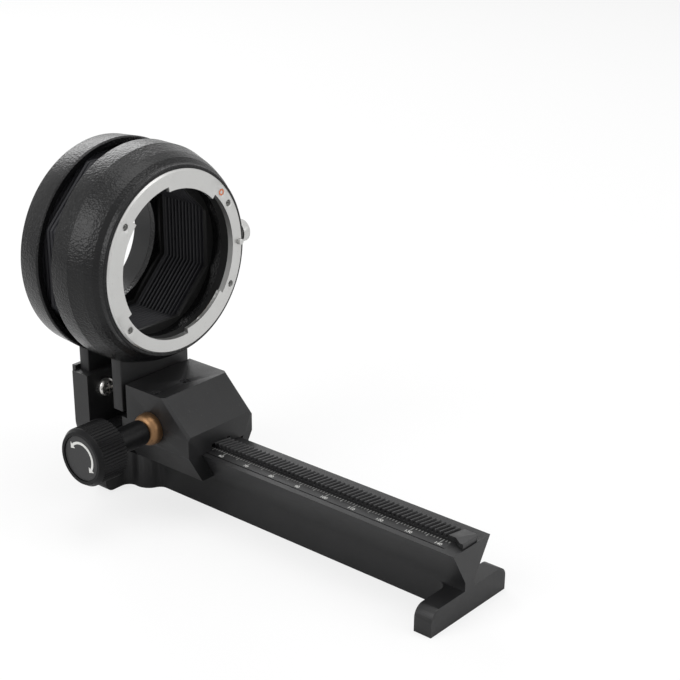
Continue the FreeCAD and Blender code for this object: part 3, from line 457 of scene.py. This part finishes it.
def spun(profile: list[tuple[float, float]], steps: int = 192,
         rounding: float = 0.12) -> bmesh.types.BMesh:
    """Closed profile of (station, radius) points spun about the optical axis.

    Args:
        profile: Corners in mm.
        steps: Steps round the axis.
        rounding: Radius of the rounded corners in mm.

    Returns:
        The bmesh, in metres.
    """
    shape = bmesh.new()
    ring = [shape.verts.new(place(radius, station, AXIS_HEIGHT)) for station, radius in profile]
    for first, second in zip(ring, ring[1:] + ring[:1]):
        shape.edges.new((first, second))
    bmesh.ops.bevel(shape, geom=shape.verts[:] + shape.edges[:], affect="VERTICES",
                    offset=rounding * MM, segments=3, profile=0.5, material=-1)
    bmesh.ops.spin(shape, geom=shape.verts[:] + shape.edges[:],
                   cent=place(0, SOCKET_STATION, AXIS_HEIGHT), axis=(0, 1, 0), angle=math.tau,
                   steps=steps, use_merge=True)
    bmesh.ops.remove_doubles(shape, verts=shape.verts, dist=SAME_POINT / 2)
    return shape


def block(low: Vector, high: Vector, rounding: float = 0.35) -> bmesh.types.BMesh:
    """Block between two corners with rounded edges.

    Args:
        low: Lowest corner in metres.
        high: Highest corner in metres.
        rounding: Radius of the edges in mm.

    Returns:
        The bmesh.
    """
    shape = bmesh.new()
    bmesh.ops.create_cube(shape, size=1.0)
    size = high - low
    bmesh.ops.scale(shape, vec=size, verts=shape.verts)
    bmesh.ops.translate(shape, vec=(low + high) / 2, verts=shape.verts)
    bmesh.ops.bevel(shape, geom=shape.edges[:], affect="EDGES", offset=rounding * MM, segments=3,
                    profile=0.5, material=-1)
    return shape


@dataclass
class Rail:
    """Dovetail rail with its rack, scale and tripod boss.

    zero_station is where the printed scale would read nought. The numerals' own height is
    letter_size for each mm asked for.
    """

    shop: Workshop
    top: float = 20.9
    numerals: tuple[int, ...] = (60, 70, 80, 90, 100, 110, 120, 130, 140)
    zero_station: float = 147.5
    numeral_x: float = -5.02
    numeral_height: float = 1.15
    tick_start: float = -2.15
    tick_lengths: tuple[float, float, float] = (0.85, 1.6, 2.1)
    tick_width: float = 0.26
    ticks_before: int = 6
    ticks_after: int = 2
    letter_size: float = 1.4
    paint: float = 0.03

    def build(self) -> None:
        """Dress the rail and paint its scale."""
        self.shop.eased("rail", POWDER_BLACK, ROOT, 0.3, 3, False)
        self.shop.eased("focusing_rack", BLACKENED, ROOT, 0.05, 1)
        self.shop.eased("scale_plate", POWDER_BLACK, ROOT, 0.03, 1)
        self.shop.eased("tripod_insert", BUSH_BRASS, ROOT, 0.1)
        self.ticks()
        self.numbers()

    def ticks(self) -> None:
        """Millimetre ticks, longer at every fifth and tenth."""
        shape = bmesh.new()
        first, last = self.numerals[0] - self.ticks_before, self.numerals[-1] + self.ticks_after
        for value in range(first, last + 1):
            kind = 2 if value % 10 == 0 else 1 if value % 5 == 0 else 0
            length = self.tick_lengths[kind]
            station = self.zero_station - value
            made = bmesh.ops.create_cube(shape, size=1.0)["verts"]
            size = (length * MM, self.tick_width * MM, self.paint * MM)
            bmesh.ops.scale(shape, vec=size, verts=made)
            centre = place(self.tick_start - length / 2, station, self.top + self.paint / 2)
            bmesh.ops.translate(shape, vec=centre, verts=made)
        self.shop.add("scale_ticks", shape, TICK_GREY, ROOT)

    def numbers(self) -> None:
        """Numerals every ten millimetres, read from the rail's left side."""
        shape = bmesh.new()
        for value in self.numerals:
            curve = bpy.data.curves.new("numeral", "FONT")
            curve.body = str(value)
            curve.size = self.numeral_height * self.letter_size * MM
            curve.align_x = "CENTER"
            curve.align_y = "CENTER"
            curve.extrude = self.paint / 2 * MM
            holder = in_scene("numeral", curve)
            mesh = bpy.data.meshes.new_from_object(holder)
            turn = Matrix.Rotation(-math.pi / 2, 4, "Z")
            spot = place(self.numeral_x, self.zero_station - value, self.top + self.paint / 2)
            mesh.transform(Matrix.Translation(spot) @ turn)
            shape.from_mesh(mesh)
            bpy.data.objects.remove(holder)
            bpy.data.curves.remove(curve)
            bpy.data.meshes.remove(mesh)
        self.shop.add("scale_numerals", shape, MARK_WHITE, ROOT)


@dataclass
class FrontStandard:
    """Ring and leg in front of the bellows, with the lens mount."""

    shop: Workshop
    leg_half: float = 14.2
    leg: tuple[float, float] = (119.8, 124.0)
    leg_bottom: float = 28.7
    leg_top: float = 47.0
    mount_face: float = 108.2
    index_angle: float = 48.0
    index_circle: float = 25.4
    index_ring_radii: tuple[float, float] = (0.55, 1.0)
    index_ring_depths: tuple[float, float] = (0.02, -0.05)

    def build(self) -> None:
        """Make the casting, the mount and what is on it."""
        self.shop.standard("front_standard", "front", CARRIAGE, [
            (108.9, 27.63), (108.9, 28.45), (109.15, 28.7), (110.6, 28.9), (111.8, 30.3),
            (114.3, 31.55), (114.9, 31.75), (118.9, 33.0), (119.3, 33.15), (125.7, 33.3),
            (126.2, 32.9), (126.2, 31.5), (117.4, 31.5), (117.4, 24.0), (113.2, 24.0),
            (113.2, 24.38), (110.2, 24.38), (110.2, 27.63),
        ], (place(-self.leg_half, self.leg[0], self.leg_bottom),
            place(self.leg_half, self.leg[1], self.leg_top)))
        for node, coat, width, dissolve in (
            ("lens_mount", SATIN_CHROME, 0.12, False),
            ("mount_screws", MOUNT_STEEL, 0.08, True),
            ("mount_leaf_springs", BUSH_BRASS, 0.04, True),
            ("button_collar", SATIN_CHROME, 0.2, False),
            ("front_leg_screws", SCREW_STEEL, 0.1, True),
            ("front_bellows_frame", MATT_INNER, 0.1, False),
            ("lock_spring", BARE_SPRING, 0.02, True),
            ("mount_sleeve", MATT_INNER, 0.08, False),
        ):
            self.shop.eased(node, coat, CARRIAGE, width, dissolve=dissolve)
        self.shop.eased("index_dot", SATIN_CHROME, CARRIAGE, 0.02, 1)
        self.shop.eased("release_button", SATIN_CHROME, BUTTON, 0.15)
        self.shop.eased("lock_pin", SATIN_CHROME, LENS_LOCK, 0.15)
        self.shop.eased("lock_block", BLACKENED, LENS_LOCK, 0.1)
        self.index_ring()

    def index_ring(self) -> None:
        """Painted ring of the index mark."""
        turn = math.radians(self.index_angle)
        centre = place(self.index_circle * math.sin(turn), self.mount_face,
                       AXIS_HEIGHT + self.index_circle * math.cos(turn))
        inner, outer = self.index_ring_radii
        back, front = self.index_ring_depths
        shape = bmesh.new()
        corners = [shape.verts.new(centre + Vector((radius * MM, depth * MM, 0)))
                   for radius, depth in ((inner, back), (outer, back), (outer, front), (inner, front))]
        for first, second in zip(corners, corners[1:] + corners[:1]):
            shape.edges.new((first, second))
        bmesh.ops.spin(shape, geom=shape.verts[:] + shape.edges[:], cent=centre, axis=(0, 1, 0),
                       angle=math.tau, steps=32, use_merge=True)
        self.shop.add("index_ring", shape, INDEX_RED, CARRIAGE)


@dataclass
class RearStandard:
    """Ring and leg behind the bellows, with the camera side's bayonet and the bracket."""

    shop: Workshop
    leg_half: float = 14.2
    leg: tuple[float, float] = (134.4, 138.4)
    leg_bottom: float = 24.5
    leg_top: float = 47.0

    def build(self) -> None:
        """Make the casting and dress what carries it."""
        self.shop.standard("rear_standard", "rear", ROOT, [
            (132.3, 31.0), (132.3, 32.7), (132.8, 33.1), (140.3, 32.5), (141.0, 31.7),
            (141.0, 20.4), (139.1, 20.4), (139.1, 31.0),
        ], (place(-self.leg_half, self.leg[0], self.leg_bottom),
            place(self.leg_half, self.leg[1], self.leg_top)))
        for node, coat, width, dissolve in (
            ("camera_flange", WRINKLE_BLACK, 0.15, False),
            ("bayonet_barrel", POWDER_BLACK, 0.12, False),
            ("rear_grub_screw", BLACKENED, 0.05, True),
            ("rear_bracket", POWDER_BLACK, 0.35, True),
            ("clamp_plate", POWDER_BLACK, 0.3, True),
            ("clamp_screws", SCREW_STEEL, 0.1, True),
            ("leg_screws", SCREW_STEEL, 0.1, True),
            ("rear_bellows_frame", MATT_INNER, 0.1, False),
        ):
            self.shop.eased(node, coat, ROOT, width, dissolve=dissolve)


@dataclass
class Bellows:
    """Folded octagonal bellows between the two rings."""

    shop: Workshop
    front: float = 118.7
    rear: float = 137.8
    outer: float = 30.9
    inner: float = 24.6
    pleats: int = 13
    corners: int = 8
    crease_roll: float = 0.12
    cloth: float = 0.25

    def build(self) -> None:
        """Fold the cloth between the two standards."""
        shape = bmesh.new()
        edges = None
        steps = 2 * self.pleats
        for index in range(steps + 1):
            reach = self.outer if index % 2 else self.inner
            station = self.front + (self.rear - self.front) * index / steps
            made = bmesh.ops.create_circle(shape, cap_ends=False, segments=self.corners,
                                           radius=reach * MM)["verts"]
            for angle, axis in ((180.0 / self.corners, "Z"), (90.0, "X")):
                bmesh.ops.rotate(shape, verts=made, cent=(0, 0, 0),
                                 matrix=Matrix.Rotation(math.radians(angle), 3, axis))
            bmesh.ops.translate(shape, verts=made, vec=place(0, station, AXIS_HEIGHT))
            ring = list({edge for vert in made for edge in vert.link_edges if len(edge.link_faces) == 0})
            if edges is not None:
                bmesh.ops.bridge_loops(shape, edges=edges + ring)
            edges = ring
        creases = [edge for edge in shape.edges if len(edge.link_faces) == 2]
        bmesh.ops.bevel(shape, geom=creases, affect="EDGES", offset=self.crease_roll * MM,
                        segments=2, profile=0.5, material=-1)
        obj = self.shop.add("bellows_cloth", shape, BELLOWS_CLOTH, ROOT, CLOTH_CREASE)
        obj.parent = None
        del obj["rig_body"]
        wall = obj.modifiers.new("cloth", "SOLIDIFY")
        wall.thickness = self.cloth * MM
        wall.offset = -1.0
        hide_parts("bellows")
        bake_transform(obj)


@dataclass
class Carriage:
    """Saddle on the rail with its gib, bush, grub screws and lock."""

    shop: Workshop

    def build(self) -> None:
        """Dress the saddle and the small pieces in it."""
        self.shop.eased("carriage", POWDER_BLACK, CARRIAGE, 0.3, 3, False)
        self.shop.eased("gib", BUSH_BRASS, CARRIAGE, 0.1)
        self.shop.eased("gib_screws", COPPER_SCREW, CARRIAGE, 0.08)
        self.shop.eased("carriage_grub_screws", BLACKENED, CARRIAGE, 0.08)
        self.shop.eased("shaft_bush", BUSH_BRASS, CARRIAGE, 0.15, dissolve=False)
        self.shop.eased("lock_stud", SCREW_STEEL, LOCK, 0.12)
        self.shop.eased("lock_knob", KNOB_PLASTIC, LOCK, 0.12)


@dataclass
class FocusDrive:
    """Pinion, shaft and the focusing knob with its turning mark."""

    shop: Workshop
    shaft_station: float = 108.0
    shaft_height: float = 27.015
    disc_x: float = -41.6
    arc_radius: float = 4.75
    arc_width: float = 0.8
    arc_start: float = -150.0
    arc_sweep: float = -165.0
    head_share: float = 1.5
    head_lean: float = 17.5
    paint: float = 0.05

    def build(self) -> None:
        """Dress the drive and paint the arrow on the knob's disc."""
        self.shop.eased("pinion_shaft", SCREW_STEEL, DRIVE, 0.15)
        self.shop.eased("pinion", BUSH_BRASS, DRIVE, 0.04, 1)
        self.shop.eased("knob_neck", KNOB_PLASTIC, DRIVE, 0.2)
        self.shop.eased("focusing_knob", KNOB_PLASTIC, DRIVE, 0.12)
        self.shop.eased("knob_disc", DISC_BLACK, DRIVE, 0.1)
        self.arrow()

    def on_disc(self, angle: float, radius: float) -> Vector:
        """Point on the disc; angle 0 points to the rear and 90 up, seen from the right side."""
        turn = math.radians(angle)
        return place(self.disc_x, self.shaft_station, self.shaft_height) + Vector(
            (0, radius * math.cos(turn) * MM, radius * math.sin(turn) * MM))

    def arrow(self) -> None:
        """White curved arrow with a head at each end."""
        shape = bmesh.new()
        start, sweep = self.arc_start, self.arc_sweep
        wing = self.arc_width * self.head_share
        inner = shape.verts.new(self.on_disc(start, self.arc_radius - self.arc_width / 2))
        outer = shape.verts.new(self.on_disc(start, self.arc_radius + self.arc_width / 2))
        edge = shape.edges.new((inner, outer))
        centre = place(self.disc_x, self.shaft_station, self.shaft_height)
        bmesh.ops.spin(shape, geom=[inner, outer, edge], cent=centre, axis=(1, 0, 0),
                       angle=math.radians(sweep), steps=40, use_merge=False)
        for angle, lean in ((start, self.head_lean), (start + sweep, -self.head_lean)):
            head = [self.on_disc(angle, self.arc_radius - wing),
                    self.on_disc(angle, self.arc_radius + wing),
                    self.on_disc(angle + lean, self.arc_radius)]
            shape.faces.new([shape.verts.new(point) for point in head])
        made = bmesh.ops.extrude_face_region(shape, geom=shape.faces[:])["geom"]
        lifted = [item for item in made if isinstance(item, bmesh.types.BMVert)]
        bmesh.ops.translate(shape, vec=(-self.paint * MM, 0, 0), verts=lifted)
        self.shop.add("turning_arrow", shape, MARK_WHITE, DRIVE)


@dataclass
class Studio:
    """Camera, lamps, floor and background."""

    centre: tuple[float, float, float] = (-303.8, -205.6, 225.9)
    azimuth: float = 47.77
    elevation: float = 25.02
    roll: float = -0.45
    lens: float = 82.93
    shift: tuple[float, float] = (0.0949, 0.1263)
    lamps_aim: tuple[float, float, float] = (0.0, -0.02, 0.05)
    floor_half: float = 40.0
    floor_tone: float = 0.86
    floor_roughness: float = 0.9
    floor_glow: float = 0.75
    ambient: float = 0.4

    def build(self) -> None:
        """Set the stage."""
        self.camera()
        self.lamps()
        self.floor()
        self.background()
        bpy.context.scene.view_settings.view_transform = "Standard"

    def camera(self) -> None:
        """Camera at the photograph's viewing angle."""
        data = bpy.data.cameras.new("camera")
        data.lens = self.lens
        data.sensor_width = 36.0
        data.shift_x, data.shift_y = self.shift
        data.clip_start, data.clip_end = 0.01, 10.0
        obj = in_scene("camera", data)
        turn, tilt = math.radians(self.azimuth), math.radians(self.elevation)
        look = Vector((math.sin(turn) * math.cos(tilt), math.cos(turn) * math.cos(tilt),
                       -math.sin(tilt)))
        aim = look.to_track_quat("-Z", "Y").to_matrix().to_4x4()
        spin = Matrix.Rotation(math.radians(self.roll), 4, "Z")
        obj.matrix_world = Matrix.Translation(place(*self.centre)) @ aim @ spin
        bpy.context.scene.camera = obj

    def lamps(self) -> None:
        """Soft lamps to both sides, above and in front."""
        for name, spot, size, power in (
            ("left_softbox", (-0.75, 0.15, 0.55), 0.6, 4.5),
            ("top_softbox", (0.1, -0.1, 0.95), 0.7, 4.0),
            ("front_softbox", (0.35, -0.85, 0.45), 0.5, 2.5),
            ("back_softbox", (0.45, 0.75, 0.6), 0.5, 3.0),
        ):
            data = bpy.data.lights.new(name, "AREA")
            data.shape = "SQUARE"
            data.size = size
            data.energy = power
            lamp = in_scene(name, data)
            lamp.location = spot
            aim = Vector(self.lamps_aim) - Vector(spot)
            lamp.rotation_euler = aim.to_track_quat("-Z", "Y").to_euler()

    def floor(self) -> None:
        """Pale floor under the feet, mostly white to the camera so that it runs into the background."""
        shape = bmesh.new()
        bmesh.ops.create_grid(shape, x_segments=1, y_segments=1, size=self.floor_half)
        mesh = bpy.data.meshes.new("floor")
        shape.to_mesh(mesh)
        shape.free()
        obj = in_scene("floor", mesh)
        material = bpy.data.materials.new("pale_floor")
        material.use_nodes = True
        shader = material.node_tree.nodes["Principled BSDF"]
        shader.inputs["Base Color"].default_value = (*(self.floor_tone,) * 3, 1.0)
        shader.inputs["Roughness"].default_value = self.floor_roughness
        nodes, links = material.node_tree.nodes, material.node_tree.links
        glow = nodes.new("ShaderNodeEmission")
        path = nodes.new("ShaderNodeLightPath")
        share = nodes.new("ShaderNodeMath")
        share.operation = "MULTIPLY"
        share.inputs[1].default_value = self.floor_glow
        mix = nodes.new("ShaderNodeMixShader")
        links.new(path.outputs["Is Camera Ray"], share.inputs[0])
        links.new(share.outputs["Value"], mix.inputs["Fac"])
        links.new(shader.outputs["BSDF"], mix.inputs[1])
        links.new(glow.outputs["Emission"], mix.inputs[2])
        links.new(mix.outputs["Shader"], nodes["Material Output"].inputs["Surface"])
        mesh.materials.append(material)

    def background(self) -> None:
        """White to the camera, in reflections and through glass, softer as light."""
        world = bpy.data.worlds.new("studio")
        world.use_nodes = True
        nodes, links = world.node_tree.nodes, world.node_tree.links
        plain = nodes["Background"]
        white = nodes.new("ShaderNodeBackground")
        for shade, strength in ((plain, self.ambient), (white, 1.0)):
            shade.inputs["Color"].default_value = (1.0, 1.0, 1.0, 1.0)
            shade.inputs["Strength"].default_value = strength
        path = nodes.new("ShaderNodeLightPath")
        either = nodes.new("ShaderNodeMath")
        either.operation = "MAXIMUM"
        clear = nodes.new("ShaderNodeMath")
        clear.operation = "MAXIMUM"
        mix = nodes.new("ShaderNodeMixShader")
        links.new(path.outputs["Is Camera Ray"], either.inputs[0])
        links.new(path.outputs["Is Glossy Ray"], either.inputs[1])
        links.new(either.outputs["Value"], clear.inputs[0])
        links.new(path.outputs["Is Transmission Ray"], clear.inputs[1])
        links.new(clear.outputs["Value"], mix.inputs["Fac"])
        links.new(plain.outputs["Background"], mix.inputs[1])
        links.new(white.outputs["Background"], mix.inputs[2])
        links.new(mix.outputs["Shader"], nodes["World Output"].inputs["Surface"])
        bpy.context.scene.world = world


def main() -> None:
    """Build the dressed bellows unit round the CAD frame."""
    logging.basicConfig(level=logging.INFO, format="%(name)s: %(message)s")
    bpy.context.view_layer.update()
    effects = SurfaceEffects()
    effects.build()
    shop = Workshop(effects)
    for assembly in (Rail(shop), FrontStandard(shop), RearStandard(shop), Bellows(shop),
                     Carriage(shop), FocusDrive(shop), Studio()):
        assembly.build()
        log.info("%s done", type(assembly).__name__)


if __name__ == "__main__":
    main()
